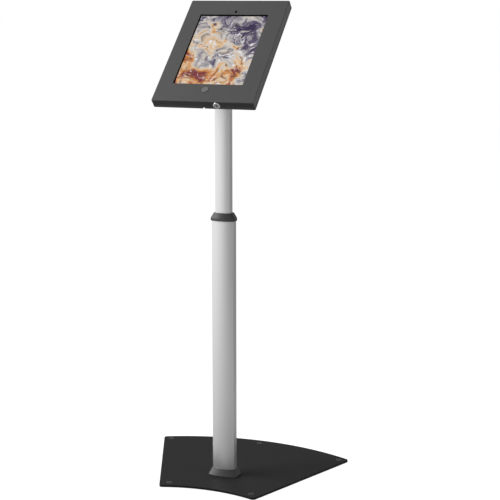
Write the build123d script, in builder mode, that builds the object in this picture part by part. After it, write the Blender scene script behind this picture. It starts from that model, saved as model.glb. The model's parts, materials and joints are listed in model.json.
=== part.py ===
from build123d import *
from math import cos, radians, sin
import os

# Tablet floor stand: a weighted floor plate, a two-stage telescoping column and a
# lockable tablet enclosure on a head that tilts and turns. Millimetres, +Z up.
# The screen faces -Y, the origin is on the floor on the column's axis.

# Floor plate: a hollow front edge, straight flared sides and a bowed back edge
plate_thick = 5.0
plate_corner = 7.0
plate_edge = 0.8
front_half = 106.8
front_y = -108.9
front_hollow = 19.3
back_half = 226.2
back_y = 182.2
back_bulge = 52.3

# Rubber feet under the plate and the countersunk screws that hold them
foot_r = 11.0
foot_recess = 1.5
foot_reach = 1.5
foot_chamfer = 0.6
foot_skin = 0.8
foot_screw_r = 3.0
foot_head_r = 6.2
foot_socket = 2.0
back_inset_x = 21.2
back_inset_y = 7.6
front_inset_x = 13.5
front_inset_y = 21.4
middle_inset = 19.0
pad_foot_r = 8.0

# Lower column: flat narrow sides, bowed faces front and back
lower_width = 50.0
lower_depth = 30.0
lower_side = 16.0
lower_corner = 3.4
lower_wall = 2.2
lower_length = 565.0

# Block in the column's foot, its bolts through the plate and its side screws
insert_height = 40.0
bolt_r = 2.5
bolt_head_r = 5.0
bolt_length = 21.0
bolt_pitch_x = 26.0
bolt_pitch_y = 12.5
side_screw_r = 2.5
side_screw_head_r = 3.6
side_screw_head = 2.0
side_screw_length = 10.0
side_screw_rise = 5.0

# Flared foot shroud
shroud_width = 65.0
shroud_depth = 45.0
shroud_side = 33.0
shroud_corner = 5.0
shroud_rim = 2.5
shroud_height = 16.5
shroud_wall = 2.0
shroud_lip = 1.4

# Collar on the lower column, with the guide sleeve for the upper column
collar_rim = 5.5
collar_slope = 11.1
collar_overhang = 2.1
collar_lip = 3.1
sleeve_length = 63.0

# Upper column
upper_width = 34.5
upper_depth = 22.0
upper_side = 14.0
upper_corner = 2.8
upper_wall = 1.8
upper_length = 520.0
upper_exposed = 263.4

# Glide on the upper column's lower end
glide_height = 28.0
glide_plug = 18.0
glide_pin_r = 2.0
glide_pin_inset = 0.2

# Height clamp at the back: threaded boss, pad and knob
clamp_drop = 26.0
pad_size = 16.0
pad_travel = 0.6
stud_r = 3.0
boss_r = 5.0
boss_flange_r = 7.0
boss_flange = 3.0
knob_r = 10.0
knob_length = 14.0
knob_lobes = 6
knob_lobe_r = 2.6

# Head: cap with two ears, tilt bolt, tilt bracket and turning hub
cap_flange = 2.5
cap_lip = 1.2
cap_plug = 24.0
cap_screw_r = 2.0
cap_screw_head_r = 3.8
cap_screw_head = 2.2
cap_screw_length = 9.0
pivot_rise = 11.0
ear_inner = 11.0
ear_thick = 5.0
ear_r = 9.6
tilt_bolt_r = 4.0
tilt_head_r = 6.5
tilt_head = 5.0
tilt_nut_flat = 13.0
tilt_nut_height = 6.5
knuckle_r = 10.0
tilt_washer = 1.0
bracket_neck = 12.0
bracket_plate = 4.0
bracket_width = 60.0
bracket_below = 12.0
bracket_above = 34.0
bracket_corner = 8.0
hub_rise = 33.7
hub_washer_r = 20.0
hub_washer = 1.5
hub_bolt_r = 5.0
hub_head_r = 11.0
hub_head = 3.0
hub_nut_flat = 17.0
hub_nut_height = 6.0
adapter_size = 90.0
adapter_thick = 2.5
adapter_corner = 6.0
adapter_pitch = 75.0
adapter_screw_r = 2.0
adapter_head_r = 3.8
adapter_head = 2.2
stop_pin_r = 2.0
stop_place = 26.0
stop_turn = 90.0

# Enclosure: folded steel, the tray's rim stepped in to go inside the front frame
panel_angle = 42.3
panel_width = 219.6
panel_height = 291.2
panel_depth = 21.5
panel_corner = 3.0
panel_edge = 2.0
sheet = 1.2
skirt_depth = 12.0
tray_gap = 0.3
tray_top = 2.0
tray_edge = 2.8
tray_step_edge = 0.6
window_width = 151.0
window_height = 200.0
window_corner = 1.5
window_shift = -1.8
window_rise = 2.4
camera_r = 3.0
camera_rise = 110.6
notch_width = 5.0
notch_height = 4.7
notch_reach = 6.0

# Hinges between the tray and the front frame, along the top edge
hinge_r = 2.3
hinge_pin_r = 1.2
hinge_leaf = 10.0
hinge_place = 70.0

# Window gasket on the back of the front frame
gasket_thick = 2.0
gasket_width = 3.5
gasket_set = 2.0

# Home key in the front frame
key_drop = 112.7
key_r = 7.0
key_dome = 1.2
key_flange_r = 8.5
key_flange = 0.6
key_stem_r = 3.0
key_travel = 0.55
retainer_r = 11.0
retainer_wall = 2.0
retainer_floor = 0.5

# Tablet and the foam corners that hold it
tablet_width = 170.0
tablet_height = 240.0
tablet_thick = 7.5
tablet_corner = 8.0
tablet_edge = 2.5
tablet_set = 3.5
glass_thick = 1.0
screen_width = 147.5
screen_height = 196.6
cushion_under = 12.0
cushion_front = 4.8
cushion_corner = 4.0

# Cam lock in the bottom wall
lock_place = 30.4
lock_set = 9.0
lock_flange_r = 7.5
lock_flange = 1.8
lock_bevel = 1.0
lock_body_r = 6.0
lock_body = 16.7
lock_nut_r = 8.5
lock_nut = 3.0
plug_r = 4.5
plug_head_r = 5.4
plug_head = 1.2
plug_square = 4.4
keyway_width = 1.6
keyway_length = 6.4
keyway_depth = 8.0
cam_thick = 1.5
cam_reach = 7.0
cam_half = 2.5
cam_hub_r = 4.2
cam_screw_r = 1.5
cam_screw_head_r = 3.0
cam_screw_head = 1.6
catch_thick = 1.5
catch_width = 5.0
catch_gap = 0.4
catch_set = 1.3
catch_flange = 11.0

# Clearances
seat_gap = 0.05
slide_gap = 0.15
turn_gap = 0.05
hole_gap = 0.1
soft_gap = 0.3

os.makedirs("parts", exist_ok=True)

# Heights up the column
floor_gap = foot_reach
plate_top = floor_gap + plate_thick
foot_seat = floor_gap + foot_recess
insert_top = plate_top + insert_height
lower_top = plate_top + lower_length
collar_base = lower_top - collar_rim
collar_top = lower_top + collar_slope
sleeve_base = lower_top - sleeve_length
upper_top = collar_top + upper_exposed
upper_base = upper_top - upper_length
cap_top = upper_top + cap_flange
pivot_height = cap_top + pivot_rise
clamp_height = lower_top - clamp_drop

# Directions of the tilted head: up the panel, and out of its front
lean = radians(panel_angle)
panel_up = Vector(0, cos(lean), sin(lean))
panel_out = Vector(0, -sin(lean), cos(lean))
pivot = Vector(0, 0, pivot_height)

# Distances from the tilt pivot out to the bracket, the hub washer and the tray
bracket_back = knuckle_r + bracket_neck
bracket_front = bracket_back + bracket_plate
adapter_back = bracket_front + hub_washer + turn_gap
tray_back = adapter_back + adapter_thick

# Planes: the pivot, the hub's axis, the enclosure's front face
head_side = Plane(origin=pivot, x_dir=panel_up, z_dir=(1, 0, 0))
pivot_side = Plane(origin=pivot, x_dir=(0, 1, 0), z_dir=(1, 0, 0))
head_plane = Plane(origin=pivot, x_dir=(1, 0, 0), z_dir=panel_out)
hub_plane = Plane(origin=pivot + panel_up * hub_rise, x_dir=(1, 0, 0), z_dir=panel_out)
face_plane = hub_plane.offset(tray_back + panel_depth)
out_axis = Axis(face_plane.origin, panel_out)

# Sizes inside the enclosure, all set from its outside
tray_inset = sheet + tray_gap
tray_width = panel_width - 2 * tray_inset
tray_height = panel_height - 2 * tray_inset
tray_corner = panel_corner - tray_inset
tray_floor = panel_depth - sheet
tablet_back = tablet_set + tablet_thick

# Lock plane: under the lock's flange, just outside the bottom edge, looking down from it
lock_seat = tray_inset + hole_gap
lock_out = panel_height / 2 + hole_gap
lock_origin = face_plane.from_local_coords((lock_place, -lock_out, -lock_set))
lock_plane = Plane(origin=lock_origin, x_dir=(1, 0, 0), z_dir=-panel_up)
lock_axis = Axis(lock_origin, -panel_up)

# Hinge line, just outside the top edge at the frame's lower rim
hinge_out = panel_height / 2 + hinge_r + soft_gap
hinge_origin = face_plane.from_local_coords((0, hinge_out, -skirt_depth))
hinge_side = Plane(origin=hinge_origin, x_dir=panel_up, z_dir=(1, 0, 0))

# Clamp plane: on the column's back, looking backwards
clamp_plane = Plane(origin=(0, 0, clamp_height), x_dir=(1, 0, 0), z_dir=(0, 1, 0))

foot_spots = {
    "back_left": (-(back_half - back_inset_x), back_y - back_inset_y),
    "back_right": (back_half - back_inset_x, back_y - back_inset_y),
    "front_left": (-(front_half - front_inset_x), front_y + front_inset_y),
    "front_right": (front_half - front_inset_x, front_y + front_inset_y),
    "back_middle": (0, back_y + back_bulge - middle_inset),
}


def column_outline(width, depth, side, corner, grow=0.0):
    # Flat sides at each end, joined by a shallow arc in front and one behind
    x = width / 2
    y = side / 2
    with BuildSketch() as outline:
        with BuildLine():
            ThreePointArc((-x, -y), (0, -depth / 2), (x, -y))
            Line((x, -y), (x, y))
            ThreePointArc((x, y), (0, depth / 2), (-x, y))
            Line((-x, y), (-x, -y))
        make_face()
        fillet(outline.vertices(), corner)
        if grow:
            offset(amount=grow)
    return outline.sketch


def lower_outline(grow):
    return column_outline(lower_width, lower_depth, lower_side, lower_corner, grow)


def upper_outline(grow):
    return column_outline(upper_width, upper_depth, upper_side, upper_corner, grow)


def shroud_outline(grow):
    return column_outline(shroud_width, shroud_depth, shroud_side, shroud_corner, grow)


lower_outer = lower_outline(0)
lower_bore = lower_outline(-lower_wall)
lower_fill = lower_outline(-lower_wall - seat_gap)
lower_run = lower_outline(-lower_wall - slide_gap)
upper_outer = upper_outline(0)
upper_bore = upper_outline(-upper_wall)
upper_fill = upper_outline(-upper_wall - seat_gap)

# Floor plate
with BuildPart() as base_plate:
    with BuildSketch(Plane.XY.offset(floor_gap)) as plate_sketch:
        with BuildLine():
            ThreePointArc((-front_half, front_y), (0, front_y + front_hollow), (front_half, front_y))
            Line((front_half, front_y), (back_half, back_y))
            ThreePointArc((back_half, back_y), (0, back_y + back_bulge), (-back_half, back_y))
            Line((-back_half, back_y), (-front_half, front_y))
        make_face()
        fillet(plate_sketch.vertices(), plate_corner)
    extrude(amount=plate_thick)
    fillet(base_plate.faces().sort_by(Axis.Z)[-1].edges(), plate_edge)
    with BuildSketch(Plane.XY.offset(floor_gap)):
        Circle(pad_foot_r + hole_gap)
        with Locations(*foot_spots.values()):
            Circle(foot_r + hole_gap)
    extrude(amount=foot_recess, mode=Mode.SUBTRACT)
    with Locations(*[(x, y, plate_top) for x, y in foot_spots.values()]):
        CounterSinkHole(foot_screw_r + hole_gap, foot_head_r + hole_gap, counter_sink_angle=90)
    with Locations(Location((0, 0, floor_gap), (180, 0, 0))):
        with GridLocations(bolt_pitch_x, bolt_pitch_y, 2, 2):
            CounterSinkHole(bolt_r + hole_gap, bolt_head_r + hole_gap, counter_sink_angle=90)
base_plate.part.label = "base_plate"
export_step(base_plate.part, "parts/base_plate.step")

# Rubber feet, each set in its recess
for spot, (foot_x, foot_y) in foot_spots.items():
    with BuildPart() as rubber_foot:
        with BuildSketch():
            with Locations((foot_x, foot_y)):
                Circle(foot_r)
        extrude(amount=foot_seat)
        chamfer(rubber_foot.faces().sort_by(Axis.Z)[0].edges(), foot_chamfer)
        with BuildSketch(Plane.XY.offset(foot_skin)):
            with Locations((foot_x, foot_y)):
                Circle(foot_screw_r + seat_gap)
        extrude(amount=foot_seat, mode=Mode.SUBTRACT)
    rubber_foot.part.label = "foot_" + spot
    export_step(rubber_foot.part, "parts/foot_" + spot + ".step")

# Pad under the column, glued in between its bolts, so the plate can't sag there
with BuildPart() as foot_centre:
    with BuildSketch():
        Circle(pad_foot_r)
    extrude(amount=foot_seat)
    chamfer(foot_centre.faces().sort_by(Axis.Z)[0].edges(), foot_chamfer)
foot_centre.part.label = "foot_centre"
export_step(foot_centre.part, "parts/foot_centre.step")

# Countersunk screws that hold the feet
with BuildPart() as foot_screws:
    foot_cone = foot_head_r - foot_screw_r
    with Locations(*[(x, y, plate_top) for x, y in foot_spots.values()]):
        Cone(foot_screw_r, foot_head_r, foot_cone, align=(Align.CENTER, Align.CENTER, Align.MAX))
    with BuildSketch(Plane.XY.offset(foot_skin + hole_gap)):
        with Locations(*foot_spots.values()):
            Circle(foot_screw_r)
    extrude(amount=plate_top - foot_cone - foot_skin - hole_gap)
    with BuildSketch(Plane.XY.offset(plate_top)):
        with Locations(*foot_spots.values()):
            RegularPolygon(foot_socket, 6)
    extrude(amount=-foot_cone * 0.7, mode=Mode.SUBTRACT)
foot_screws.part.label = "foot_screws"
export_step(foot_screws.part, "parts/foot_screws.step")

# Block inside the foot of the lower column
with BuildPart() as column_insert:
    with BuildSketch(Plane.XY.offset(plate_top)):
        add(lower_fill)
    extrude(amount=insert_height)
    with BuildSketch(Plane.XY.offset(plate_top)):
        with GridLocations(bolt_pitch_x, bolt_pitch_y, 2, 2):
            Circle(bolt_r + seat_gap)
    extrude(amount=bolt_length, mode=Mode.SUBTRACT)
    with BuildSketch(Plane.YZ):
        with Locations((0, plate_top + side_screw_rise)):
            Circle(side_screw_r + seat_gap)
    extrude(amount=lower_width, both=True, mode=Mode.SUBTRACT)
column_insert.part.label = "column_insert"
export_step(column_insert.part, "parts/column_insert.step")

# Bolts up through the plate into the block
with BuildPart() as column_bolts:
    bolt_cone = bolt_head_r - bolt_r
    with Locations((0, 0, floor_gap)):
        with GridLocations(bolt_pitch_x, bolt_pitch_y, 2, 2):
            Cone(bolt_head_r, bolt_r, bolt_cone, align=(Align.CENTER, Align.CENTER, Align.MIN))
    with BuildSketch(Plane.XY.offset(floor_gap + bolt_cone)):
        with GridLocations(bolt_pitch_x, bolt_pitch_y, 2, 2):
            Circle(bolt_r)
    extrude(amount=bolt_length - bolt_cone)
    with BuildSketch(Plane.XY.offset(floor_gap)):
        with GridLocations(bolt_pitch_x, bolt_pitch_y, 2, 2):
            RegularPolygon(bolt_r * 0.7, 6)
    extrude(amount=bolt_cone * 0.8, mode=Mode.SUBTRACT)
column_bolts.part.label = "column_bolts"
export_step(column_bolts.part, "parts/column_bolts.step")

# Lower column
with BuildPart() as lower_column:
    with BuildSketch(Plane.XY.offset(plate_top)):
        add(lower_outer)
        add(lower_bore, mode=Mode.SUBTRACT)
    extrude(amount=lower_length)
    with BuildSketch(Plane.YZ):
        with Locations((0, plate_top + side_screw_rise)):
            Circle(side_screw_r + seat_gap)
    extrude(amount=lower_width, both=True, mode=Mode.SUBTRACT)
    with BuildSketch(clamp_plane):
        Circle(boss_r + seat_gap)
    extrude(amount=lower_depth, mode=Mode.SUBTRACT)
lower_column.part.label = "lower_column"
export_step(lower_column.part, "parts/lower_column.step")

# Side screws through the column into the block, under the shroud
with BuildPart() as column_side_screws:
    for side in (-1, 1):
        with Locations(Location((0, 0, plate_top + side_screw_rise), (0, side * 90, 0))):
            with Locations((0, 0, lower_width / 2)):
                Cylinder(side_screw_r, side_screw_length, align=(Align.CENTER, Align.CENTER, Align.MAX))
                Cylinder(side_screw_head_r, side_screw_head, align=(Align.CENTER, Align.CENTER, Align.MIN))
column_side_screws.part.label = "column_side_screws"
export_step(column_side_screws.part, "parts/column_side_screws.step")

# Flared shroud round the foot of the column
with BuildPart() as foot_shroud:
    with BuildSketch(Plane.XY.offset(plate_top)):
        add(shroud_outline(0))
    extrude(amount=shroud_rim)
    with BuildSketch(Plane.XY.offset(plate_top + shroud_rim)):
        add(shroud_outline(0))
    with BuildSketch(Plane.XY.offset(plate_top + shroud_height)):
        add(lower_outline(shroud_lip))
    loft()
    with BuildSketch(Plane.XY.offset(plate_top)):
        add(shroud_outline(-shroud_wall))
    with BuildSketch(Plane.XY.offset(plate_top + shroud_height - shroud_wall)):
        add(lower_outline(hole_gap))
    loft(mode=Mode.SUBTRACT)
    with BuildSketch(Plane.XY.offset(plate_top)):
        add(lower_outline(hole_gap))
    extrude(amount=shroud_height, mode=Mode.SUBTRACT)
foot_shroud.part.label = "foot_shroud"
export_step(foot_shroud.part, "parts/foot_shroud.step")

# Collar: a rim over the column's end, a sloped cap and a sleeve inside
with BuildPart() as column_collar:
    with BuildSketch(Plane.XY.offset(collar_base)):
        add(lower_outline(collar_overhang))
    extrude(amount=collar_rim)
    with BuildSketch(Plane.XY.offset(lower_top)):
        add(lower_outline(collar_overhang))
    with BuildSketch(Plane.XY.offset(collar_top)):
        add(upper_outline(collar_lip))
    loft()
    with BuildSketch(Plane.XY.offset(collar_base)):
        add(lower_outline(seat_gap))
    extrude(amount=collar_rim, mode=Mode.SUBTRACT)
    with BuildSketch(Plane.XY.offset(sleeve_base)):
        add(lower_fill)
    extrude(amount=sleeve_length)
    with BuildSketch(Plane.XY.offset(sleeve_base)):
        add(upper_outline(slide_gap))
    extrude(amount=sleeve_length + collar_slope, mode=Mode.SUBTRACT)
    with BuildSketch(clamp_plane):
        Rectangle(pad_size + 2 * soft_gap, pad_size + 2 * soft_gap)
    extrude(amount=lower_depth, mode=Mode.SUBTRACT)
column_collar.part.label = "column_collar"
export_step(column_collar.part, "parts/column_collar.step")

# Threaded boss for the clamp, in the back wall of the lower column
boss_inside = lower_depth / 2 - lower_wall
with BuildPart() as clamp_boss:
    with BuildSketch(clamp_plane.offset(boss_inside + seat_gap)):
        Circle(boss_r)
    extrude(amount=lower_wall)
    with BuildSketch(clamp_plane.offset(lower_depth / 2 + seat_gap)):
        Circle(boss_flange_r)
    extrude(amount=boss_flange)
    with BuildSketch(clamp_plane):
        Circle(stud_r + turn_gap)
    extrude(amount=lower_depth, mode=Mode.SUBTRACT)
clamp_boss.part.label = "clamp_boss"
export_step(clamp_boss.part, "parts/clamp_boss.step")

# Clamp pad: bears on the back of the upper column through the sleeve's window
pad_back = boss_inside - pad_travel - seat_gap
with BuildPart() as clamp_pad:
    with BuildSketch(Plane.XY.offset(clamp_height - pad_size / 2)):
        add(lower_outline(-lower_wall - pad_travel - seat_gap))
        add(upper_outline(slide_gap), mode=Mode.SUBTRACT)
        Rectangle(pad_size, lower_depth, align=(Align.CENTER, Align.MIN), mode=Mode.INTERSECT)
    extrude(amount=pad_size)
clamp_pad.part.label = "clamp_pad"
export_step(clamp_pad.part, "parts/clamp_pad.step")

# Clamp knob with its stud
knob_front = lower_depth / 2 + boss_flange + 2 * soft_gap
with BuildPart() as clamp_knob:
    with BuildSketch(clamp_plane.offset(knob_front)):
        Circle(knob_r)
        with PolarLocations(knob_r + knob_lobe_r * 0.4, knob_lobes):
            Circle(knob_lobe_r, mode=Mode.SUBTRACT)
    extrude(amount=knob_length)
    fillet(clamp_knob.faces().sort_by(Axis.Y)[-1].edges(), 0.8)
    with BuildSketch(clamp_plane.offset(pad_back + turn_gap)):
        Circle(stud_r)
    extrude(amount=knob_front - pad_back + 1)
clamp_knob.part.label = "clamp_knob"
export_step(clamp_knob.part, "parts/clamp_knob.step")

# Upper column
glide_pin_height = upper_base + glide_plug / 2
cap_screw_height = upper_top - cap_plug / 2
with BuildPart() as upper_column:
    with BuildSketch(Plane.XY.offset(upper_base)):
        add(upper_outer)
        add(upper_bore, mode=Mode.SUBTRACT)
    extrude(amount=upper_length)
    with BuildSketch(Plane.YZ):
        with Locations((0, glide_pin_height)):
            Circle(glide_pin_r + seat_gap)
        with Locations((0, cap_screw_height)):
            Circle(cap_screw_r + seat_gap)
    extrude(amount=upper_width, both=True, mode=Mode.SUBTRACT)
upper_column.part.label = "upper_column"
export_step(upper_column.part, "parts/upper_column.step")

# Glide that centres the upper column's lower end in the lower column
with BuildPart() as column_glide:
    with BuildSketch(Plane.XY.offset(upper_base - glide_height)):
        add(lower_run)
    extrude(amount=glide_height)
    with BuildSketch(Plane.XY.offset(upper_base)):
        add(upper_fill)
    extrude(amount=glide_plug)
    with BuildSketch(Plane.XY.offset(upper_base - glide_height)):
        Rectangle(upper_width * 0.5, upper_depth * 0.4)
    extrude(amount=glide_height + glide_plug, mode=Mode.SUBTRACT)
    with BuildSketch(Plane.YZ):
        with Locations((0, glide_pin_height)):
            Circle(glide_pin_r + seat_gap)
    extrude(amount=lower_width, both=True, mode=Mode.SUBTRACT)
column_glide.part.label = "column_glide"
export_step(column_glide.part, "parts/column_glide.step")

with BuildPart() as glide_pin:
    with BuildSketch(Plane.YZ):
        with Locations((0, glide_pin_height)):
            Circle(glide_pin_r)
    extrude(amount=upper_width / 2 - glide_pin_inset, both=True)
glide_pin.part.label = "glide_pin"
export_step(glide_pin.part, "parts/glide_pin.step")

# Head cap: a plug in the column's top, a flange and two ears
with BuildPart() as head_cap:
    with BuildSketch(Plane.XY.offset(upper_top - cap_plug)):
        add(upper_fill)
    extrude(amount=cap_plug)
    with BuildSketch(Plane.XY.offset(upper_top)):
        add(upper_outline(cap_lip))
    extrude(amount=cap_flange)
    for side in (-1, 1):
        with BuildSketch(pivot_side.offset(side * ear_inner)):
            Circle(ear_r)
            with Locations((0, -pivot_rise / 2)):
                Rectangle(2 * ear_r, pivot_rise)
        extrude(amount=side * ear_thick)
    with BuildSketch(pivot_side):
        Circle(tilt_bolt_r + turn_gap)
    extrude(amount=upper_width, both=True, mode=Mode.SUBTRACT)
    with BuildSketch(Plane.YZ):
        with Locations((0, cap_screw_height)):
            Circle(cap_screw_r + seat_gap)
    extrude(amount=upper_width, both=True, mode=Mode.SUBTRACT)
head_cap.part.label = "head_cap"
export_step(head_cap.part, "parts/head_cap.step")

with BuildPart() as cap_screws:
    for side in (-1, 1):
        with Locations(Location((0, 0, cap_screw_height), (0, side * 90, 0))):
            with Locations((0, 0, upper_width / 2)):
                Cylinder(cap_screw_r, cap_screw_length, align=(Align.CENTER, Align.CENTER, Align.MAX))
                Cylinder(cap_screw_head_r, cap_screw_head, align=(Align.CENTER, Align.CENTER, Align.MIN))
cap_screws.part.label = "cap_screws"
export_step(cap_screws.part, "parts/cap_screws.step")

# Tilt bolt, its nut and the friction washers beside the knuckle
ear_outer = ear_inner + ear_thick
bolt_tip = ear_outer + tilt_nut_height + 1.5
with BuildPart() as tilt_bolt:
    with BuildSketch(pivot_side.offset(ear_outer)):
        Circle(tilt_head_r)
    extrude(amount=tilt_head)
    fillet(tilt_bolt.faces().sort_by(Axis.X)[-1].edges(), 0.8)
    with BuildSketch(pivot_side.offset(-bolt_tip)):
        Circle(tilt_bolt_r)
    extrude(amount=bolt_tip + ear_outer)
    with BuildSketch(pivot_side.offset(ear_outer + tilt_head)):
        RegularPolygon(tilt_head_r * 0.5, 6)
    extrude(amount=-tilt_head * 0.6, mode=Mode.SUBTRACT)
tilt_bolt.part.label = "tilt_bolt"
export_step(tilt_bolt.part, "parts/tilt_bolt.step")

with BuildPart() as tilt_nut:
    with BuildSketch(pivot_side.offset(-ear_outer)):
        RegularPolygon(tilt_nut_flat / 2, 6, major_radius=False)
        Circle(tilt_bolt_r + seat_gap, mode=Mode.SUBTRACT)
    extrude(amount=-tilt_nut_height)
tilt_nut.part.label = "tilt_nut"
export_step(tilt_nut.part, "parts/tilt_nut.step")

with BuildPart() as tilt_washers:
    for side in (-1, 1):
        with BuildSketch(pivot_side.offset(side * ear_inner)):
            Circle(ear_r)
            Circle(tilt_bolt_r + seat_gap, mode=Mode.SUBTRACT)
        extrude(amount=-side * tilt_washer)
tilt_washers.part.label = "tilt_washers"
export_step(tilt_washers.part, "parts/tilt_washers.step")

# Tilt bracket: a knuckle on the bolt, a ribbed neck and a plate for the hub
knuckle_half = ear_inner - tilt_washer - turn_gap
with BuildPart() as tilt_bracket:
    with BuildSketch(head_side.offset(-knuckle_half)):
        Circle(knuckle_r)
        with BuildLine():
            Polyline(
                (-knuckle_r * 0.9, 0),
                (knuckle_r * 0.9, 0),
                (hub_rise - hub_nut_flat, bracket_back),
                (-bracket_below, bracket_back),
                close=True,
            )
        make_face()
    extrude(amount=2 * knuckle_half)
    with BuildSketch(head_plane.offset(bracket_back)) as bracket_sketch:
        with Locations((0, (hub_rise + bracket_above - bracket_below) / 2)):
            RectangleRounded(bracket_width, hub_rise + bracket_above + bracket_below, bracket_corner)
    extrude(amount=bracket_plate)
    with BuildSketch(head_side):
        Circle(tilt_bolt_r + turn_gap)
    extrude(amount=bracket_width, both=True, mode=Mode.SUBTRACT)
    with BuildSketch(hub_plane.offset(bracket_back)):
        Circle(hub_bolt_r + turn_gap)
        with Locations((0, stop_place)):
            Circle(stop_pin_r)
    extrude(amount=bracket_plate, mode=Mode.SUBTRACT)
tilt_bracket.part.label = "tilt_bracket"
export_step(tilt_bracket.part, "parts/tilt_bracket.step")

with BuildPart() as hub_washer_ring:
    with BuildSketch(hub_plane.offset(bracket_front)):
        Circle(hub_washer_r)
        Circle(hub_bolt_r + turn_gap, mode=Mode.SUBTRACT)
    extrude(amount=hub_washer)
hub_washer_ring.part.label = "hub_washer"
export_step(hub_washer_ring.part, "parts/hub_washer.step")

# Stop pin, pressed in the bracket above the hub, for the enclosure's quarter turn
with BuildPart() as turn_stop:
    with BuildSketch(hub_plane.offset(bracket_back)):
        with Locations((0, stop_place)):
            Circle(stop_pin_r)
    extrude(amount=tray_back - soft_gap - bracket_back)
turn_stop.part.label = "turn_stop"
export_step(turn_stop.part, "parts/turn_stop.step")

# Hub bolt, from inside the tray through the bracket, and its nut
with BuildPart() as hub_bolt:
    with BuildSketch(face_plane.offset(-tray_floor)):
        Circle(hub_head_r)
    extrude(amount=hub_head)
    chamfer(hub_bolt.faces().sort_by(out_axis)[-1].edges(), 0.6)
    with BuildSketch(face_plane.offset(-tray_floor)):
        Circle(hub_bolt_r)
    extrude(amount=-(tray_back + sheet - bracket_back + hub_nut_height + 1))
    with BuildSketch(face_plane.offset(hub_head - tray_floor)):
        RegularPolygon(hub_head_r * 0.3, 6)
    extrude(amount=-hub_head * 0.7, mode=Mode.SUBTRACT)
hub_bolt.part.label = "hub_bolt"
export_step(hub_bolt.part, "parts/hub_bolt.step")

with BuildPart() as hub_nut:
    with BuildSketch(hub_plane.offset(bracket_back - turn_gap)):
        RegularPolygon(hub_nut_flat / 2, 6, major_radius=False)
        Circle(hub_bolt_r + seat_gap, mode=Mode.SUBTRACT)
    extrude(amount=-hub_nut_height)
hub_nut.part.label = "hub_nut"
export_step(hub_nut.part, "parts/hub_nut.step")

# Adapter plate on the back of the tray, with its four screws and the stop pin's slot:
# the panel turns one way, so the pin runs through the slot the other way
stop_path = CenterArc((0, 0), stop_place, 90 - stop_turn, stop_turn)
with BuildPart() as adapter_plate:
    with BuildSketch(hub_plane.offset(adapter_back)):
        RectangleRounded(adapter_size, adapter_size, adapter_corner)
        Circle(hub_bolt_r + seat_gap, mode=Mode.SUBTRACT)
        SlotArc(stop_path, 2 * (stop_pin_r + soft_gap), mode=Mode.SUBTRACT)
        with GridLocations(adapter_pitch, adapter_pitch, 2, 2):
            Circle(adapter_screw_r + seat_gap, mode=Mode.SUBTRACT)
    extrude(amount=adapter_thick)
adapter_plate.part.label = "adapter_plate"
export_step(adapter_plate.part, "parts/adapter_plate.step")

with BuildPart() as adapter_screws:
    with BuildSketch(face_plane.offset(-tray_floor)):
        with GridLocations(adapter_pitch, adapter_pitch, 2, 2):
            Circle(adapter_head_r)
    extrude(amount=adapter_head)
    with BuildSketch(face_plane.offset(-tray_floor)):
        with GridLocations(adapter_pitch, adapter_pitch, 2, 2):
            Circle(adapter_screw_r)
    extrude(amount=-(sheet + adapter_thick))
    with BuildSketch(face_plane.offset(adapter_head - tray_floor)):
        with GridLocations(adapter_pitch, adapter_pitch, 2, 2):
            RegularPolygon(adapter_head_r * 0.45, 6)
    extrude(amount=-adapter_head * 0.6, mode=Mode.SUBTRACT)
adapter_screws.part.label = "adapter_screws"
export_step(adapter_screws.part, "parts/adapter_screws.step")

# Back tray: floor, four walls with a stepped rim, hinge knuckles, lock hole, cable notch
step_set = skirt_depth + tray_gap
with BuildPart() as tray_cavity:
    with BuildSketch(face_plane.offset(-tray_floor)):
        RectangleRounded(panel_width - 2 * sheet, panel_height - 2 * sheet, panel_corner - sheet)
    extrude(amount=tray_floor - step_set - sheet)
    fillet(tray_cavity.faces().sort_by(out_axis)[0].edges(), tray_edge - sheet)
    with BuildSketch(face_plane.offset(-tray_floor)):
        RectangleRounded(tray_width - 2 * sheet, tray_height - 2 * sheet, tray_corner - sheet)
    extrude(amount=panel_depth)

with BuildPart() as back_tray:
    with BuildSketch(face_plane.offset(-panel_depth)):
        RectangleRounded(panel_width, panel_height, panel_corner)
    extrude(amount=panel_depth - step_set)
    fillet(back_tray.faces().sort_by(out_axis)[0].edges(), tray_edge)
    fillet(back_tray.faces().sort_by(out_axis)[-1].edges(), tray_step_edge)
    with BuildSketch(face_plane.offset(-panel_depth + sheet)):
        RectangleRounded(tray_width, tray_height, tray_corner)
    extrude(amount=tray_floor - tray_top)
    add(tray_cavity.part, mode=Mode.SUBTRACT)
    for place in (-hinge_place, hinge_place):
        for side in (-1, 1):
            with BuildSketch(hinge_side.offset(place + side * (hinge_leaf / 2 + soft_gap))):
                Circle(hinge_r)
                with Locations((0, -soft_gap)):
                    Rectangle(
                        hinge_out - panel_height / 2 + sheet,
                        hinge_r - soft_gap,
                        align=(Align.MAX, Align.MAX),
                    )
                Circle(hinge_pin_r, mode=Mode.SUBTRACT)
            extrude(amount=side * hinge_leaf)
    with BuildSketch(hub_plane.offset(tray_back)):
        Circle(hub_bolt_r + seat_gap)
        with GridLocations(adapter_pitch, adapter_pitch, 2, 2):
            Circle(adapter_screw_r + seat_gap)
    extrude(amount=sheet, mode=Mode.SUBTRACT)
    with BuildSketch(lock_plane):
        Circle(lock_body_r + seat_gap)
    extrude(amount=-(lock_seat + 2 * sheet), mode=Mode.SUBTRACT)
    with BuildSketch(face_plane.offset(-panel_depth)):
        with Locations((0, -panel_height / 2)):
            Rectangle(notch_width, 2 * notch_reach)
    extrude(amount=notch_height, mode=Mode.SUBTRACT)
back_tray.part.label = "back_tray"
export_step(back_tray.part, "parts/back_tray.step")

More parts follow.
